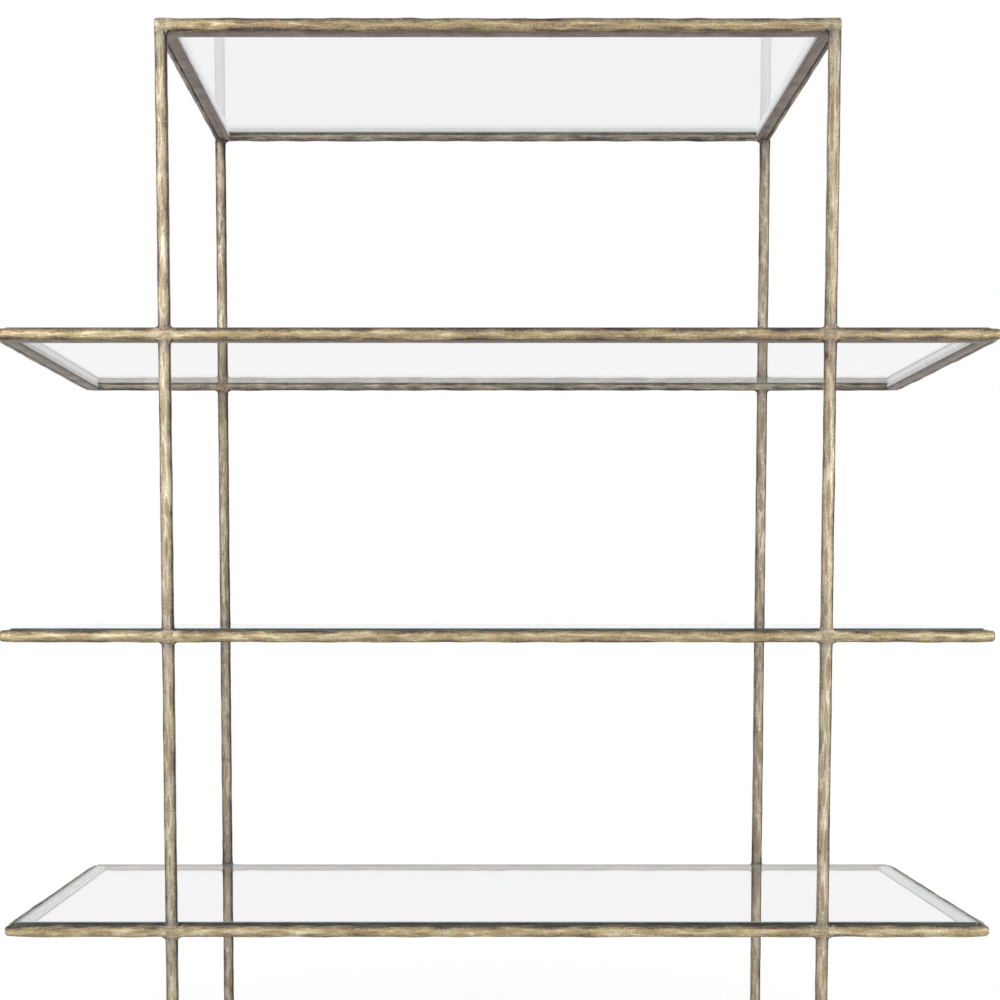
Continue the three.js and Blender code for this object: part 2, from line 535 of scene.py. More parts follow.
def brass_material():
    n = MaterialNodes("antique_brass")
    grain = n.attribute("grain", "Vector")
    place = n.place()
    streak = n.noise(grain, 230.0, 4.0, 0.62)
    fine = n.noise(grain, 900.0, 2.0, 0.5)
    speck = n.noise(place, 460.0, 3.0, 0.75)
    drift = n.noise(place, 16.0, 2.0, 0.5)
    patch = n.noise(place, 13.0, 2.0, 0.5)

    dent = n.attribute("dent")
    rim = n.minus(1.0, n.times(n.math("ABSOLUTE", n.plus(dent, RIM_PLACE)), DENT_SLOPE), clamp=True)
    pit = n.times(dent, DENT_SLOPE, clamp=True)
    level = brass_level(n, ((streak, 0.85), (fine, 0.45), (speck, 1.1), (drift, 0.35)), rim)
    tone = n.ramp(level, PATINA)

    # Bars that have lost their yellow.
    blush = n.attribute("blush")
    inputs = {"Saturation": n.minus(1.0, n.times(blush, BLUSH_FADE)), "Color": tone}
    faded = n.add("ShaderNodeHueSaturation", inputs).outputs["Color"]
    pink = n.times(blush, n.times(patch, BLUSH_PATCH), clamp=True)
    tone = n.mix(pink, faded, BLUSH_TONE, "MULTIPLY")

    # Warmer and cooler streaks, the brown of the dents and the tinge of the welds.
    hue = n.plus(n.times(n.noise(grain, 170.0, 3.0, 0.65), HUE_GRAIN), n.times(patch, HUE_PATCH))
    for start, slope, share, hue_tone in HUES:
        streaks = n.times(n.minus(hue, start), slope, clamp=True)
        tone = n.mix(n.times(streaks, share), tone, hue_tone, "MULTIPLY")
    tone = n.mix(n.times(pit, n.plus(fine, PIT_BASE), clamp=True), tone, PIT_TONE)
    tinge = n.times(n.attribute("heat"), n.noise(place, 90.0), clamp=True)
    tone = n.mix(n.times(tinge, HEAT_GAIN, clamp=True), tone, HEAT_TONE)
    return n.surface(n.principled({
        "Base Color": tone,
        "Metallic": 0.75,
        "Roughness": n.ramp(level, PATINA_ROUGHNESS),
        "Normal": n.bump(n.plus(fine, speck), 0.5, 0.4 * MM),
    }))


def plain_finish(n, level, stops, normal, roughness, metallic=0.0):
    """A finish whose tone follows the level."""
    return n.surface(n.principled({
        "Base Color": n.ramp(level, stops),
        "Metallic": metallic,
        "Roughness": roughness,
        "Normal": normal,
    }))


def ledge_material():
    n = MaterialNodes("ledge_metal")
    place = n.place()
    cloud = n.noise(place, 38.0, 4.0, 0.6)
    fine = n.noise(place, 520.0, 3.0, 0.65)
    level = n.plus(n.times(cloud, 0.45), n.times(fine, 0.55))
    stops = ((0.3, colour(96, 86, 82)), (0.5, colour(142, 130, 122)), (0.68, colour(182, 172, 160)))
    return plain_finish(n, level, stops, n.bump(fine, 0.3, 0.2 * MM), 0.55, 0.55)


def lamp_through(n, shader, tint):
    """The shader, but rays towards lamps pass it with that tint."""
    shadow = n.add("ShaderNodeLightPath").outputs["Is Shadow Ray"]
    clear = n.add("ShaderNodeBsdfTransparent", {"Color": tint}).outputs["BSDF"]
    return n.add("ShaderNodeMixShader", {0: shadow, 1: shader, 2: clear}).outputs["Shader"]


def glass_material():
    n = MaterialNodes("clear_glass")
    smear = n.noise(n.place(), 9.0, 2.0, 0.5)
    shader = n.principled({
        "Base Color": n.mix(n.attribute("border"), colour(240, 240, 241), colour(240, 241, 241)),
        "Roughness": n.times(smear, 0.004),
        "IOR": 1.5,
        "Transmission Weight": 1.0,
    })
    return n.surface(lamp_through(n, shader, (0.98, 0.985, 0.98, 1)))


def glass_edge_material():
    n = MaterialNodes("glass_edge")
    cloud = n.noise(n.place(), 24.0, 3.0, 0.6)
    # Painted shade: the front and back ground edges are painted dark teal over the glass's own green; the
    # side edges stay pale.
    tone = n.ramp(cloud, ((0.3, colour(66, 82, 79)), (0.7, colour(110, 127, 121))))
    return n.surface(n.principled({
        "Base Color": n.mix(n.attribute("side"), tone, colour(232, 237, 235)),
        "Roughness": 0.28,
        "IOR": 1.5,
        "Transmission Weight": 0.35,
    }))


def strip_material():
    n = MaterialNodes("pale_strip")
    cloud = n.noise(n.place(), 60.0, 2.0, 0.5)
    stops = ((0.3, colour(243, 243, 242)), (0.7, colour(252, 252, 251)))
    return plain_finish(n, cloud, stops, n.bump(cloud, 0.15, 0.1 * MM), 0.45)


def glide_material():
    n = MaterialNodes("glide_plastic")
    fine = n.noise(n.place(), 900.0, 2.0, 0.5)
    stops = ((0.3, colour(36, 34, 32)), (0.7, colour(52, 49, 46)))
    return plain_finish(n, fine, stops, n.bump(fine, 0.2, 0.1 * MM), 0.6)


BRASS = brass_material()
LEDGE_METAL = ledge_material()
GLASS = glass_material()
GLASS_EDGE = glass_edge_material()
PALE_STRIP = strip_material()
GLIDE_PLASTIC = glide_material()


# Hammered bars: rails, posts and feet.

def waves(rng, s, height):
    """A smooth random wave along the stations s, about height high each way."""
    total = np.zeros_like(s)
    for length in WAVE_LENGTHS:
        stretch = rng.uniform(*WAVE_STRETCH)
        total += np.sin(2 * np.pi * s / (length * stretch) + rng.uniform(0, 2 * np.pi))
    return height * total / math.sqrt(len(WAVE_LENGTHS))


def blows(rng, s, t, width, spacing, length, share, depth):
    """Depth of hammer blows on one face, over stations s and places t across a face of that width."""
    marks = np.zeros((len(s), len(t)))
    place = s[0] - length[1] * rng.random()
    side = 1
    while place < s[-1] + length[1]:
        half_length = rng.uniform(*length)
        half_width = width * rng.uniform(*share)
        side = -side if rng.random() < BLOW_SIDE_CHANGE else side
        middle = side * width * rng.uniform(*BLOW_OFFSET)
        deep = rng.uniform(*depth)
        first, last = np.searchsorted(s, (place - half_length, place + half_length))
        if last > first:
            along = ((s[first:last] - place) / half_length) ** 2
            across = ((t - middle) / half_width) ** 2
            mark = deep * (1 - along[:, None] - across[None, :])
            marks[first:last] = np.maximum(marks[first:last], mark)
        place += spacing * rng.uniform(*BLOW_STEP)
    return marks


def stations(length, ends, fillets):
    """Places of a bar's rings along it, finer where an end is rounded or flared."""
    fine = []
    for at_start, end, fillet in ((True, ends[0], fillets[0]), (False, ends[1], fillets[1])):
        if end == "free":
            turns = np.linspace(0, math.pi / 2, FREE_END_RINGS)
            own = [FREE_END_ROUND * (1 - math.cos(turn)) for turn in turns]
        else:
            turns = np.linspace(0, math.pi / 2, FILLET_RINGS)
            own = [-WELD_DEPTH] + [fillet * (1 - math.cos(turn)) for turn in turns]
        fine.append(own if at_start else [length - x for x in own])
    low, high = max(fine[0]), min(fine[1])
    steps = max(2, round((high - low) / RING_STEP))
    even = list(np.linspace(low, high, steps + 1))[1:-1]
    return np.array(sorted(set(fine[0] + even + fine[1])))


class HammeredBar:
    """One bar, in place of a CAD node, with its points in rings at the stations s.

    u is a point's place in the bar's wide direction, and v in its thin one. Ends are "free" or "weld".
    fillets holds, for each end, the fillet's radius on the low and high side. welds are the places
    where posts meet the bar, and dive is how far its wide sides draw in towards both ends.
    """

    def __init__(self, node, seed, ends, fillets, welds=(), corner=BAR_CORNER, dive=0.0):
        self.node = node
        form, place = node.split("_")[:2]
        self.form = "rail" if form == "rail" else "post"
        self.kind = f"{self.form}_{'side' if place in SIDES else place}"
        self.seed = seed
        self.rng = np.random.default_rng(seed)
        self.ends = ends
        self.fillets = fillets
        self.welds = welds
        self.corner = corner
        self.dive = dive
        self.lo, self.hi = box_of(node)
        size = self.hi - self.lo
        self.along, self.wide, self.thin = np.argsort(-size)
        self.length = size[self.along]
        self.half_u = size[self.wide] / 2 + SWELL
        self.half_v = size[self.thin] / 2 + SWELL
        self.s = stations(self.length, ends, [max(pair) for pair in fillets])
        self.points, self.normals = rounded_loop(
            self.half_u, self.half_v, corner, (THIN_FACE_POINTS, WIDE_FACE_POINTS), CORNER_POINTS)
        self.rings, self.count = len(self.s), len(self.points)
        self.u = np.repeat(self.points[None, :, 0], self.rings, 0)
        self.v = np.repeat(self.points[None, :, 1], self.rings, 0)
        self.share_u = self.points[:, 0] / self.half_u
        self.share_v = self.points[:, 1] / self.half_v

    def distances(self):
        """Each end, its fillets, and how far every ring is from it."""
        return zip(self.ends, self.fillets, (self.s, self.length - self.s))

    def near_ends(self, reach):
        return np.clip(1 - np.minimum(self.s, self.length - self.s) / reach, 0, 1)

    def near_weld(self, place):
        return np.exp(-((self.s - place) / WELD_SPREAD) ** 4)

    def crown_faces(self):
        crown_v = FACE_CROWN * self.share_u ** 2 * np.sign(self.share_v) * np.abs(self.share_v)
        crown_u = SIDE_CROWN * self.share_v ** 2 * np.sign(self.share_u) * np.abs(self.share_u)
        self.v -= crown_v[None, :]
        self.u -= crown_u[None, :]

    def wave_edges(self):
        height = WAVE_HEIGHT[self.form]
        for sign in (-1, 1):
            for places, share, part in ((self.u, self.share_u, WAVE_WIDE), (self.v, self.share_v, WAVE_THIN)):
                wave = waves(self.rng, self.s, height * part)
                places += sign * wave[:, None] * np.clip(sign * share, 0, 1)[None, :]

    def calmness(self):
        """1 along the bar, and less near its welds, where there are few blows."""
        places = list(self.welds)
        places += [0] if self.ends[0] == "weld" else []
        places += [self.length] if self.ends[1] == "weld" else []
        calm = np.ones(self.rings)
        for place in places:
            calm *= 1 - WELD_CALM * self.near_weld(place)
        return calm

    def hammer(self, calm):
        """Blows on the four faces, and how deep they drove each point."""
        depth = np.zeros((self.rings, self.count))
        sides = ((0, self.u, 2 * self.half_v, THIN_BLOWS), (1, self.v, 2 * self.half_u, WIDE_BLOWS))
        for axis, places, width, strength in sides:
            across = self.points[:, 1 - axis]
            for sign in (1, -1):
                marks = blows(self.rng, self.s, across, width, **LONG_BLOWS)
                marks += blows(self.rng, self.s, across, width, **SMALL_BLOWS)
                facing = rise(sign * self.normals[:, axis], *BLOW_FACING)
                marks = marks * facing[None, :] * calm[:, None] * strength[self.form]
                depth += marks
                places -= sign * marks
        return depth

    def dent_faces(self, calm):
        """Single dents on the wide faces: above 0 inside a dent, and -1 far from any."""
        rng = np.random.default_rng(self.seed + DENT_SEED)
        dent = np.full((self.rings, self.count), -1.0)
        spacing = DENT_SPACING[self.form]
        for sign in (-1, 1):
            facing = sign * self.normals[:, 1] > DENT_FACING
            place = self.s[0] + spacing * rng.random()
            while place < self.s[-1]:
                half_length = rng.uniform(*DENT_LENGTH)
                half_width = rng.uniform(*DENT_WIDTH)
                middle = rng.uniform(-1, 1) * DENT_OFFSET * self.half_u
                along = np.abs((self.s - place) / half_length) ** DENT_POINT + DENT_WELD_FADE * (1 - calm)
                across = ((self.points[:, 0] - middle) / half_width) ** 2
                lens = 1 - along[:, None] - across[None, :]
                lens = np.where(facing[None, :], lens, -1)
                dent = np.maximum(dent, lens)
                self.v -= sign * DENT_DEPTH * np.clip(lens, 0, 1)
                place += spacing * rng.uniform(*DENT_STEP)
        return dent

    def taper_free_ends(self):
        near = self.near_ends(END_TAPER_LENGTH) ** END_TAPER_CURVE
        self.u -= (END_TAPER * near)[:, None] * self.share_u[None, :]
        self.v -= (END_TAPER * END_TAPER_THIN * near)[:, None] * self.share_v[None, :]

    def round_free_end(self, distance):
        inside = np.clip(1 - distance / FREE_END_ROUND, 0, 1)
        shrink = FREE_END_ROUND * (1 - np.sqrt(1 - inside ** 2))
        for places, share in ((self.u, self.share_u), (self.v, self.share_v)):
            part = np.minimum(1, np.abs(share) * FREE_END_SPREAD)
            places -= shrink[:, None] * np.sign(share)[None, :] * part[None, :]

    def flare_welded_end(self, distance, radii):
        for sign, radius in zip((-1, 1), radii):
            if radius > 0:
                left = np.clip(radius - np.maximum(distance, 0), 0, radius)
                flare = radius - np.sqrt(radius ** 2 - left ** 2)
                self.u += sign * flare[:, None] * np.clip(sign * self.share_u, 0, 1)[None, :]
        sunk = np.clip(-distance / WELD_DEPTH, 0, 1) ** 2
        self.v -= (WELD_DIVE * sunk)[:, None] * np.sign(self.share_v)[None, :]

    def shape_ends(self):
        if self.welds and min(self.welds) > END_TAPER_LENGTH:
            self.taper_free_ends()
        for end, radii, distance in self.distances():
            if end == "free":
                self.round_free_end(distance)
            else:
                self.flare_welded_end(distance, radii)
        if self.dive:
            near = self.near_ends(SIDE_DIVE_LENGTH) ** SIDE_DIVE_CURVE
            self.u -= (self.dive * near)[:, None] * self.share_u[None, :]

    def weld_heat(self):
        """1 at the welds, less and less away from them."""
        heat = np.zeros(self.rings)
        for end, _, distance in self.distances():
            if end == "weld":
                heat = np.maximum(heat, np.exp(-np.maximum(distance, 0) / HEAT_REACH))
        for place in self.welds:
            heat = np.maximum(heat, np.exp(-np.abs(self.s - place) / HEAT_REACH))
        return heat

    def painted_edge_shade(self):
        """Share of painted shade at each point: on the corners, edges and thin faces, heavier along some
        edges, in bands along the tops of some rails, and none near the welds.
        """
        share_u, share_v = self.share_u, self.share_v
        dark = 1 - rise(np.abs(self.normals).max(1), *CORNER_TURN)
        # Painted shade: the right edge of such a bar darker than its left one, away from the key light.
        if self.wide == 0:
            dark = dark * np.where(share_u > 0, RIGHT_EDGE_DARK, LEFT_EDGE_DARK)
        near_edge = rise(np.minimum(np.abs(share_u), np.abs(share_v)), *NEAR_EDGE)
        thin_dark = SIDE_THIN_DARK if self.corner == SIDE_RAIL_CORNER else THIN_DARK
        thin_face = thin_dark * rise(np.abs(self.normals[:, 0]), *THIN_TURN)
        dark = np.maximum(np.maximum(dark, NEAR_EDGE_DARK * near_edge), thin_face)
        # Painted shade: flat bars darker along their upper edge than along their lower one.
        if self.wide == 2:
            dark = dark * np.where(share_u > 0, TOP_EDGE_DARK, LOW_EDGE_DARK)
        dark = dark[None, :] * np.ones((self.rings, 1))
        # Painted shade: a dark band along the upper part of these rails.
        if self.node in DARK_BANDS:
            start = DARK_BAND_FROM + waves(self.rng, self.s, DARK_BAND_WAVE)
            band = rise(share_u[None, :], start[:, None], DARK_BAND_EDGE)
            dark = np.maximum(dark, DARK_BANDS[self.node] * band)
        for place in self.welds:
            dark *= 1 - WELD_UNSHADED * self.near_weld(place)[:, None]
        return dark

    def wear_and_painted_light(self, depth, heat):
        """How far the patina is worn off at each point, with the painted light and shade of each kind of bar
        added.
        """
        # Painted light and shade by kind of bar: front bars lighter, back and side rails darker.
        painted_light = PAINTED_LIGHT_BY_KIND[self.kind] + FRONT_RAIL_PAINTED_LIGHT.get(self.node, 0.0)
        if self.form == "post" and "right" in self.node:
            painted_light += RIGHT_POST_PAINTED_LIGHT
        worn = np.clip(1 - depth / DARK_DEPTH, 0, 1)
        return worn + painted_light * PAINTED_LIGHT_WEIGHT - WELD_DULL[self.form] * heat[:, None]

    def vertices(self):
        centre = (self.lo + self.hi) / 2
        vertices = np.zeros((self.rings, self.count, 3))
        vertices[:, :, self.along] = self.lo[self.along] + self.s[:, None]
        vertices[:, :, self.wide] = centre[self.wide] + self.u
        vertices[:, :, self.thin] = centre[self.thin] + self.v
        return vertices.reshape(-1, 3)

    def faces(self):
        faces = tube_faces(self.rings, self.count)
        flip = np.linalg.det(np.eye(3)[[self.wide, self.thin, self.along]]) < 0
        return [face[::-1] for face in faces] if flip else faces

    def per_point(self, values):
        """One value for each ring, as one for each point."""
        return np.repeat(values[:, None], self.count, 1)

    def make(self):
        calm = self.calmness()
        self.crown_faces()
        self.wave_edges()
        depth = self.hammer(calm)
        dent = self.dent_faces(calm)
        dent = np.where(dent > 0, dent * DENT_MARK[self.form], dent)
        self.shape_ends()
        heat = self.weld_heat()
        blush = BLUSH[self.kind] + WELD_BLUSH * heat
        grain = np.stack((self.per_point(self.s * GRAIN_STRETCH + self.seed), self.u, self.v), -1)
        name = f"bar_{self.node}"
        piece = new_piece(name, self.vertices(), self.faces(), BRASS, "frame", self.node)
        add_attribute(piece.data, "wear_and_painted_light", self.wear_and_painted_light(depth, heat).ravel())
        # corner holds painted shade on the corners, edges and thin faces.
        add_attribute(piece.data, "corner", self.painted_edge_shade().ravel())
        add_attribute(piece.data, "dent", dent.ravel())
        add_attribute(piece.data, "heat", self.per_point(heat).ravel())
        add_attribute(piece.data, "blush", self.per_point(blush).ravel())
        add_attribute(piece.data, "grain", grain.reshape(-1, 3))


def make_rails():
    post_x = [np.mean(box_of(f"post_front_{side}_1"), axis=0)[0] for side in SIDES]
    no_fillets = ((0, 0), (0, 0))
    side_fillets = ((SIDE_FILLET, SIDE_FILLET), (SIDE_FILLET, SIDE_FILLET))
    for level_index, level in enumerate(LEVELS):
        for face_index, face in enumerate(FACES):
            node = f"rail_{face}_{level}"
            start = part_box(node)[0][0]
            welds = [x - start for x in post_x]
            seed = SEEDS["rail"] + level_index * 10 + face_index
            HammeredBar(node, seed, ("free", "free"), no_fillets, welds).make()
        for side_index, side in enumerate(SIDES):
            node = f"rail_{side}_{level}"
            seed = SEEDS["side_rail"] + level_index * 10 + side_index
            dive = SIDE_DIVE["wide" if level in WIDE_LEVELS else "narrow"]
            HammeredBar(node, seed, ("weld", "weld"), side_fillets, (), SIDE_RAIL_CORNER, dive).make()


def post_fillets(side, level):
    """Fillet radii on a post's left and right where it meets that level's rails."""
    if level in WIDE_LEVELS:
        return (POST_FILLET, POST_FILLET)
    return (0, POST_FILLET) if side == "left" else (POST_FILLET, 0)


def make_posts():
    for face_index, face in enumerate(FACES):
        for side_index, side in enumerate(SIDES):
            column = face_index * 2 + side_index
            for storey in STOREYS:
                below, above = LEVELS[storey - 1], LEVELS[storey]
                fillets = (post_fillets(side, below), post_fillets(side, above))
                seed = SEEDS["post"] + column * 10 + storey
                HammeredBar(f"post_{face}_{side}_{storey}", seed, ("weld", "weld"), fillets).make()
            fillets = ((0, 0), post_fillets(side, "base"))
            HammeredBar(f"foot_{face}_{side}", SEEDS["foot"] + column, ("free", "weld"), fillets).make()


make_rails()
make_posts()


# Brazed crossings: a low smooth mound over each place where a post meets the rails, front and back.

def mound_edge(u, w, arms, half):
    """How far a place on the crossing's face lies inside its outline, and its share of the bars' crowns."""
    has_u = ("right" if u >= 0 else "left") in arms
    has_w = ("up" if w >= 0 else "down") in arms
    au, aw = abs(u), abs(w)
    pu, pw = (au / half) ** 2, (aw / half) ** 2
    if has_u and has_w:
        far = half + POST_FILLET
        return math.hypot(far - au, far - aw) - POST_FILLET, pu * pw / (pu + pw + 1e-9)
    if has_u:
        return half - aw, pw
    if has_w:
        return half - au, pu
    inner = half - MOUND_OUTER_CORNER
    out = math.hypot(max(au - inner, 0), max(aw - inner, 0))
    return MOUND_OUTER_CORNER - out if out > 0 else half - max(au, aw), max(pu, pw)


def mound_reach(angle, arms, half):
    """Distance from the crossing's centre to its outline in a direction, by halving."""
    du, dw = math.cos(angle), math.sin(angle)
    limit = (half + POST_FILLET) / max(abs(du), abs(dw))
    if mound_edge(du * limit, dw * limit, arms, half)[0] > 0:
        return limit
    low, high = 0.0, limit
    for _ in range(REACH_STEPS):
        middle = (low + high) / 2
        if mound_edge(du * middle, dw * middle, arms, half)[0] > 0:
            low = middle
        else:
            high = middle
    return low


def mound_point(u, w, arms, half, thick, lumps, on_rim):
    """Height of a place on the mound over the bars' middle, and how worn it is together with painted shade,
    its painted shade at the edge, and its weld heat.
    """
    inside, crown = mound_edge(u, w, arms, half)
    fall = min(1, max(abs(u), abs(w)) / (half + POST_FILLET))
    fade = min(1, max(0, (fall - MOUND_FADE_FROM) / (1 - MOUND_FADE_FROM)))
    fade = fade * fade * (3 - 2 * fade)
    lump = sum(a * math.exp(-((u - p[0]) ** 2 + (w - p[1]) ** 2) / r ** 2) for p, r, a in lumps)
    height = thick / 2 + SWELL - FACE_CROWN * crown + MOUND_RISE - fade * (MOUND_RISE + MOUND_SINK)
    height += MOUND_LUMP * lump * (1 - fade)
    missing = max(0, MOUND_ROUND - max(inside, 0))
    height -= MOUND_ROUND - math.sqrt(MOUND_ROUND ** 2 - missing ** 2)
    wear_and_painted_light = MOUND_WEAR + MOUND_LUMP_WEAR * lump - MOUND_CROWN_SHADE * crown
    edge = min(1, missing / MOUND_ROUND) * MOUND_EDGE_DARK
    heat = MOUND_HEAT * (1 - MOUND_HEAT_FADE * fade)
    return (0 if on_rim else height), (wear_and_painted_light, edge, heat)


def mound_faces():
    """Faces of a mound, front half first. The two halves share their rim."""
    per_side = 1 + MOUND_RINGS * MOUND_SPOKES

    def number(side, i, k):
        shared = 0 if i == MOUND_RINGS else side
        return shared * per_side + (0 if i == 0 else 1 + (i - 1) * MOUND_SPOKES + k % MOUND_SPOKES)

    faces = []
    for side in (0, 1):
        turn = 1 if side == 0 else -1
        for k in range(MOUND_SPOKES):
            fan = (number(side, 0, 0), number(side, 1, k), number(side, 1, k + 1))
            faces.append(fan[::turn])
            for i in range(1, MOUND_RINGS):
                corners = ((i, k), (i + 1, k), (i + 1, k + 1), (i, k + 1))
                faces.append(tuple(number(side, *corner) for corner in corners)[::turn])
    return faces


def mound(rng, centre, half, thick, arms):
    """Points of one mound, a closed lens over the crossing, the values its finish needs, and its faces."""
    far = half + POST_FILLET
    lumps = []
    for _ in range(MOUND_LUMPS):
        middle = rng.uniform(-1, 1, 2) * far
        lumps.append((middle, rng.uniform(*MOUND_LUMP_REACH) * MM, rng.uniform(-1, 1)))
    points, uses = [], []
    for side in (-1, 1):
        for i in range(MOUND_RINGS + 1):
            out = 1 - (1 - i / MOUND_RINGS) ** MOUND_RING_CURVE
            for k in range(MOUND_SPOKES if i else 1):
                angle = 2 * math.pi * k / MOUND_SPOKES
                reach = mound_reach(angle, arms, half) * out if i else 0
                u, w = reach * math.cos(angle), reach * math.sin(angle)
                height, finish = mound_point(u, w, arms, half, thick, lumps, i == MOUND_RINGS)
                points.append((centre[0] + u, centre[1] + side * height, centre[2] + w))
                uses.append((*finish, u, w, side * height))
    return points[:-MOUND_SPOKES], uses[:-MOUND_SPOKES], mound_faces()


def make_mounds(index, level):
    rng = np.random.default_rng(SEEDS["mound"] + index)
    rail_lo, rail_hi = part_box(f"rail_front_{level}")
    z = (rail_lo[2] + rail_hi[2]) / 2
    half = (rail_hi[2] - rail_lo[2]) / 2 + SWELL
    vertices, uses, faces = [], [], []
    for face in FACES:
        for side in SIDES:
            inward = "right" if side == "left" else "left"
            arms = set(SIDES) if level in WIDE_LEVELS else {inward}
            arms |= {"down"} if level == "top" else {"up", "down"}
            lo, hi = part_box(f"post_{face}_{side}_1")
            centre = ((lo[0] + hi[0]) / 2, (lo[1] + hi[1]) / 2, z)
            points, more_uses, more_faces = mound(rng, centre, half, hi[1] - lo[1], arms)
            join(vertices, faces, points, more_faces)
            uses += more_uses
    piece = new_piece(f"braze_{level}", vertices, faces, BRASS, "frame", None)
    values = np.array(uses)
    add_attribute(piece.data, "wear_and_painted_light", values[:, 0])
    # corner holds the painted shade at the mound's rounded edge.
    add_attribute(piece.data, "corner", values[:, 1])
    add_attribute(piece.data, "dent", np.full(len(values), -1.0))
    add_attribute(piece.data, "heat", values[:, 2])
    add_attribute(piece.data, "blush", np.full(len(values), MOUND_BLUSH))
    grain = values[:, 3:] * (GRAIN_STRETCH, 1, 1) + (MOUND_GRAIN + index, 0, 0)
    add_attribute(piece.data, "grain", grain)


for mound_index, mound_level in enumerate(LEVELS):
    make_mounds(mound_index, mound_level)


# Ledges: a flat bar along the left side, the front and the right side, tacked to the rails.

def tack(rng, centre, along, length, half_gap, bottom, top):
    """A weld tack: a lumpy closed bead across the gap."""
    half_length = length / 2 * rng.uniform(*TACK_STRETCH)
    size = np.array((half_length, half_gap, (top - bottom) / 2))
    phase = rng.uniform(0, 2 * math.pi, 3)
    along = np.array(along)
    out = np.array((-along[1], along[0]))
    vertices = []
    for i in range(TACK_ROWS + 1):
        polar = math.pi * i / TACK_ROWS
        for k in range(TACK_COLUMNS):
            turn = 2 * math.pi * k / TACK_COLUMNS
            lump = 1 + TACK_RIPPLE * math.sin(3 * turn + phase[0]) * math.sin(polar)
            lump += TACK_WAVE * math.sin(5 * polar + phase[1])
            ball = (math.cos(polar), math.sin(polar) * math.cos(turn), math.sin(polar) * math.sin(turn))
            point = size * lump * np.array(ball)
            flat = np.array(centre) + along * point[0] + out * point[1]
            vertices.append((flat[0], flat[1], (top + bottom) / 2 + point[2]))
    return vertices, tube_faces(TACK_ROWS + 1, TACK_COLUMNS, caps=False)


def three_sides(half_x, half_y, back, corner, counts):
    """Open path down the left side, along the front and up the right side of a rectangle."""
    down = np.linspace(back, corner - half_y, counts[0])
    along = np.linspace(corner - half_x, half_x - corner, counts[1])
    turn = np.linspace(0, math.pi / 2, LEDGE_CORNER_STEPS + 1)[1:-1]
    left_x = np.concatenate((np.full(len(down), -half_x), corner - half_x - corner * np.cos(turn)))
    left_y = np.concatenate((down, corner - half_y - corner * np.sin(turn)))
    left = np.column_stack((left_x, left_y))
    front = np.column_stack((along, np.full(len(along), -half_y)))
    return np.concatenate((left, front, left[::-1] * (-1, 1)))


def three_sided_bar(half_x, half_y, back, width, low, high, edge, corners, sway=0.0, phase=0.0):
    """A flat bar along three sides of a rectangle, open at the back: its points and faces."""
    half = ((0, edge), (edge, 0), (width / 2, 0), (width - edge, 0), (width, edge))
    rows = [(inset, low + z) for inset, z in half] + [(inset, high - z) for inset, z in half[::-1]]
    counts = (round((back + half_y) / LEDGE_STEP), round(2 * half_x / LEDGE_STEP))
    outer = three_sides(half_x, half_y, back, corners[0], counts)
    inner = three_sides(half_x - width, half_y - width, back, corners[1], counts)
    count = len(outer)
    step = np.arange(count)
    lift = sway * np.sin(step * SWAY_TURNS[0] + phase) * np.sin(step * SWAY_TURNS[1])
    vertices = []
    for inset, z in rows:
        path = outer + (inner - outer) * inset / width
        vertices += [tuple(point) for point in np.column_stack((path, z + lift))]
    first = tuple(i * count for i in range(len(rows)))
    last = tuple((i + 1) * count - 1 for i in range(len(rows)))
    faces = [first[::-1], last]
    for i in range(len(rows)):
        following = (i + 1) % len(rows)
        for k in range(count - 1):
            a, b = i * count + k, following * count + k
            faces.append((a, b, b + 1, a + 1))
    return vertices, faces


def weld_beads(rng, half, end, tacks, line, along):
    """Centre, direction and length of the tacks and small lumps along one side of the ledge."""
    beads = [(place, TACK_LENGTH) for place in spread(tacks, 2 * half)]
    place = -half + rng.uniform(*LUMP_STEP)
    while place < end - LUMP_STEP[0]:
        beads.append((place, rng.uniform(*LUMP_LENGTH)))
        place += rng.uniform(*LUMP_STEP)
    return [((place, line) if along == (1, 0) else (line, place), along, length) for place, length in beads]


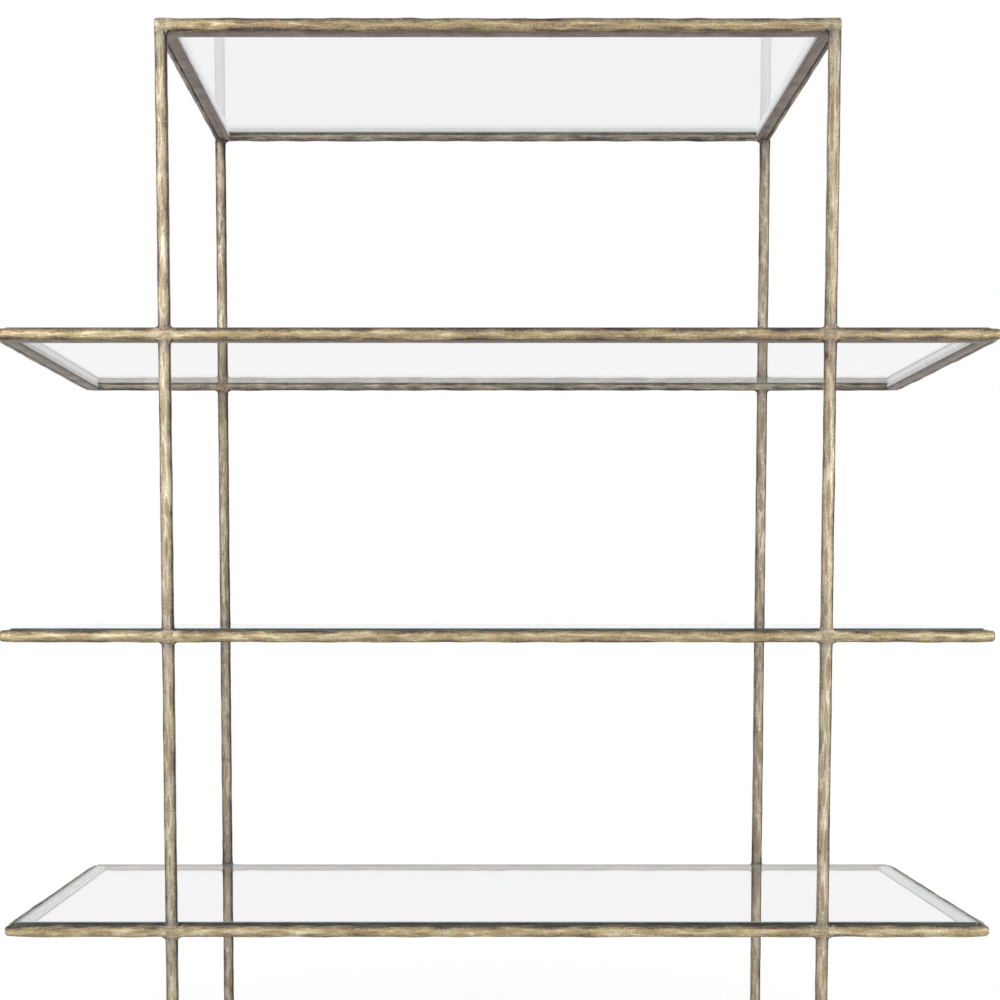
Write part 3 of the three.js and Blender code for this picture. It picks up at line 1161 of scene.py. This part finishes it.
def make_ledge(index, level):
    rng = np.random.default_rng(SEEDS["ledge"] + index)
    node = f"ledge_{level}"
    lo, hi = box_of(node)
    half_x, half_y, back = hi[0] - LEDGE_GAP, -lo[1] - LEDGE_GAP, hi[1]
    outer_x, outer_y = half_x + LEDGE_OVERHANG, half_y + LEDGE_OVERHANG
    width = LEDGE_WIDTH + LEDGE_OVERHANG
    low, top = lo[2] - LEDGE_SAG, lo[2] + LEDGE_BAR
    corners = (LEDGE_OUTER_CORNER, LEDGE_INNER_CORNER)
    phase = rng.uniform(0, 6)
    vertices, faces = three_sided_bar(
        outer_x, outer_y, back, width, low, top, LEDGE_EDGE, corners, LEDGE_SWAY, phase)

    # Weld tacks and small lumps along the seam to the rails.
    seam = LEDGE_GAP - LEDGE_OVERHANG
    bottom = low - SEAM_BEAD / 2
    long_tacks = max(SIDE_TACKS, round(2 * half_x / TACK_PITCH))
    beads = weld_beads(rng, half_x, half_x, long_tacks, -(outer_y + seam / 2), (1, 0))
    for sign in (-1, 1):
        beads += weld_beads(rng, half_y, back, SIDE_TACKS, sign * (outer_x + seam / 2), (0, 1))
    for bead in beads:
        join(vertices, faces, *tack(rng, *bead, SEAM_BEAD, bottom, bottom + TACK_HEIGHT))
    new_piece(f"ledge_bar_{level}", vertices, faces, LEDGE_METAL, "frame", node)

    # The pale strip that the glass rests on, with its lip.
    inset = LEDGE_OVERHANG + STRIP_INSET
    strip_back, strip_top = back - STRIP_INSET, hi[2] - STRIP_GAP
    vertices, faces = three_sided_bar(
        outer_x - inset, outer_y - inset, strip_back, width - inset - STRIP_INSET,
        top - STRIP_GAP, strip_top, STRIP_EDGE, (STRIP_CORNER, LEDGE_INNER_CORNER))
    lip = three_sided_bar(
        outer_x - width - LIP_GAP, outer_y - width - LIP_GAP, strip_back, LIP_THICKNESS,
        lo[2] + LIP_RAISE, strip_top, LIP_THICKNESS / 4, (LEDGE_INNER_CORNER, LEDGE_INNER_CORNER))
    join(vertices, faces, *lip)
    new_piece(f"rest_strip_{level}", vertices, faces, PALE_STRIP, "frame", node)


for ledge_index, ledge_level in enumerate(LEVELS):
    make_ledge(ledge_index, ledge_level)


# Glass panes: clear faces with a border, and ground green edges, the front and back ones darkened with
# painted shade.

def make_pane(level):
    node = f"glass_{level}"
    lo, hi = box_of(node)
    insets = (
        (GLASS_BORDER, lo[2]),
        (GLASS_ARRIS, lo[2]),
        (0, lo[2] + GLASS_ARRIS),
        (0, hi[2] - GLASS_ARRIS),
        (GLASS_ARRIS, hi[2]),
        (GLASS_BORDER, hi[2]),
    )
    rings = []
    for inset, z in insets:
        corner = max(GLASS_CORNER - inset, GLASS_INNER_CORNER)
        side_points = (GLASS_SIDE_POINTS, GLASS_SIDE_POINTS)
        loop, _ = rounded_loop(hi[0] - inset, hi[1] - inset, corner, side_points, GLASS_CORNER_POINTS)
        rings.append(np.column_stack((loop, np.full(len(loop), z))))
    count = len(rings[0])
    vertices = [tuple(point) for ring in rings for point in ring]
    faces = tube_faces(len(rings), count)
    name = f"pane_{level}"
    piece = new_piece(name, vertices, faces, GLASS, name, node, smooth=False)
    mesh = piece.data
    mesh.materials.append(GLASS_EDGE)
    for polygon in mesh.polygons:
        if abs(polygon.normal.z) < GLASS_FLAT:
            polygon.material_index = 1
    border = np.repeat([0.0 if inset == GLASS_BORDER else 1.0 for inset, _ in insets], count)
    add_attribute(mesh, "border", border)
    x = np.abs(np.array(vertices)[:, 0])
    add_attribute(mesh, "side", np.clip(1 - (hi[0] - x) / GLASS_CORNER, 0, 1))


for pane_level in LEVELS:
    make_pane(pane_level)


# Glides keep their CAD shape.
for glide_face in FACES:
    for glide_side in SIDES:
        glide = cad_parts[f"glide_{glide_face}_{glide_side}"]
        glide.data.materials[0] = GLIDE_PLASTIC


# Floor, world, lights and camera.

def seen_directly(n):
    """1 for rays that show the background itself: from the camera, or by reflection or through glass."""
    path = n.add("ShaderNodeLightPath")
    either = n.math("MAXIMUM", path.outputs["Is Camera Ray"], path.outputs["Is Glossy Ray"])
    return n.math("MAXIMUM", either, path.outputs["Is Transmission Ray"])


def make_floor():
    x = FLOOR_HALF
    mesh = bpy.data.meshes.new("floor")
    mesh.from_pydata([(-x, -x, 0), (x, -x, 0), (x, x, 0), (-x, x, 0)], [], [(0, 1, 2, 3)])
    floor = new_object("floor", mesh)
    n = MaterialNodes("floor")
    seen = seen_directly(n)
    matt = n.add("ShaderNodeBsdfDiffuse", {"Color": grey(FLOOR_GREY)}).outputs["BSDF"]
    lift = n.add("ShaderNodeEmission", {"Strength": n.times(seen, FLOOR_LIFT)}).outputs["Emission"]
    near = n.add("ShaderNodeAddShader", {0: matt, 1: lift}).outputs["Shader"]
    white = n.add("ShaderNodeEmission", {"Strength": 1.0}).outputs["Emission"]
    distance = n.vector_math("LENGTH", {0: n.place()}, "Value")
    fade = n.times(n.smooth_step(distance, FLOOR_FADE), seen)
    shader = n.add("ShaderNodeMixShader", {0: fade, 1: near, 2: white}).outputs["Shader"]
    mesh.materials.append(n.surface(shader))


def make_world():
    world = bpy.data.worlds.new("studio")
    bpy.context.scene.world = world
    world.use_nodes = True
    n = Nodes(world.node_tree)
    n.tree.nodes.clear()
    inputs = {"Value": seen_directly(n), "To Min": WORLD_LIGHT, "To Max": 1.0}
    strength = n.add("ShaderNodeMapRange", inputs).outputs["Result"]
    inputs = {"Color": grey(1), "Strength": strength}
    background = n.add("ShaderNodeBackground", inputs).outputs["Background"]
    n.add("ShaderNodeOutputWorld", {"Surface": background})


def soften_rim(data):
    """Let a lamp fade from its middle to its rim, so that its reflections have soft edges."""
    data.use_nodes = True
    n = Nodes(data.node_tree)
    face = n.add("ShaderNodeNewGeometry").outputs["Parametric"]
    centred = n.vector_math("SUBTRACT", {0: face, 1: (0.5, 0.5, 0.0)}, "Vector")
    reach = n.vector_math("LENGTH", {0: centred}, "Value")
    soft = n.smooth_step(reach, SOFT_FADE, SOFT_PEAK, 0.0)
    n.set(n.tree.nodes["Emission"].inputs["Strength"], soft)


def make_light(name, place, size, power, mirrored):
    data = bpy.data.lights.new(name, "AREA")
    data.shape = "RECTANGLE"
    data.size, data.size_y = size
    data.energy = power
    soften_rim(data)
    light = new_object(name, data)
    light.location = place
    light.rotation_euler = (Vector(LIGHT_AIM) - Vector(place)).to_track_quat("-Z", "Y").to_euler()
    light.visible_glossy = mirrored
    light.visible_transmission = False


def make_camera():
    data = bpy.data.cameras.new("camera")
    data.sensor_width = CAMERA_SENSOR
    data.lens = CAMERA_LENS
    data.shift_x, data.shift_y = CAMERA_SHIFT
    camera = new_object("camera", data)
    camera.location = CAMERA_PLACE
    camera.rotation_euler = (math.radians(90 - CAMERA_DOWN_DEG), 0, 0)
    bpy.context.scene.camera = camera


make_floor()
make_world()
for light_values in LIGHTS:
    make_light(*light_values)
make_camera()
bpy.context.scene.view_settings.view_transform = "Standard"
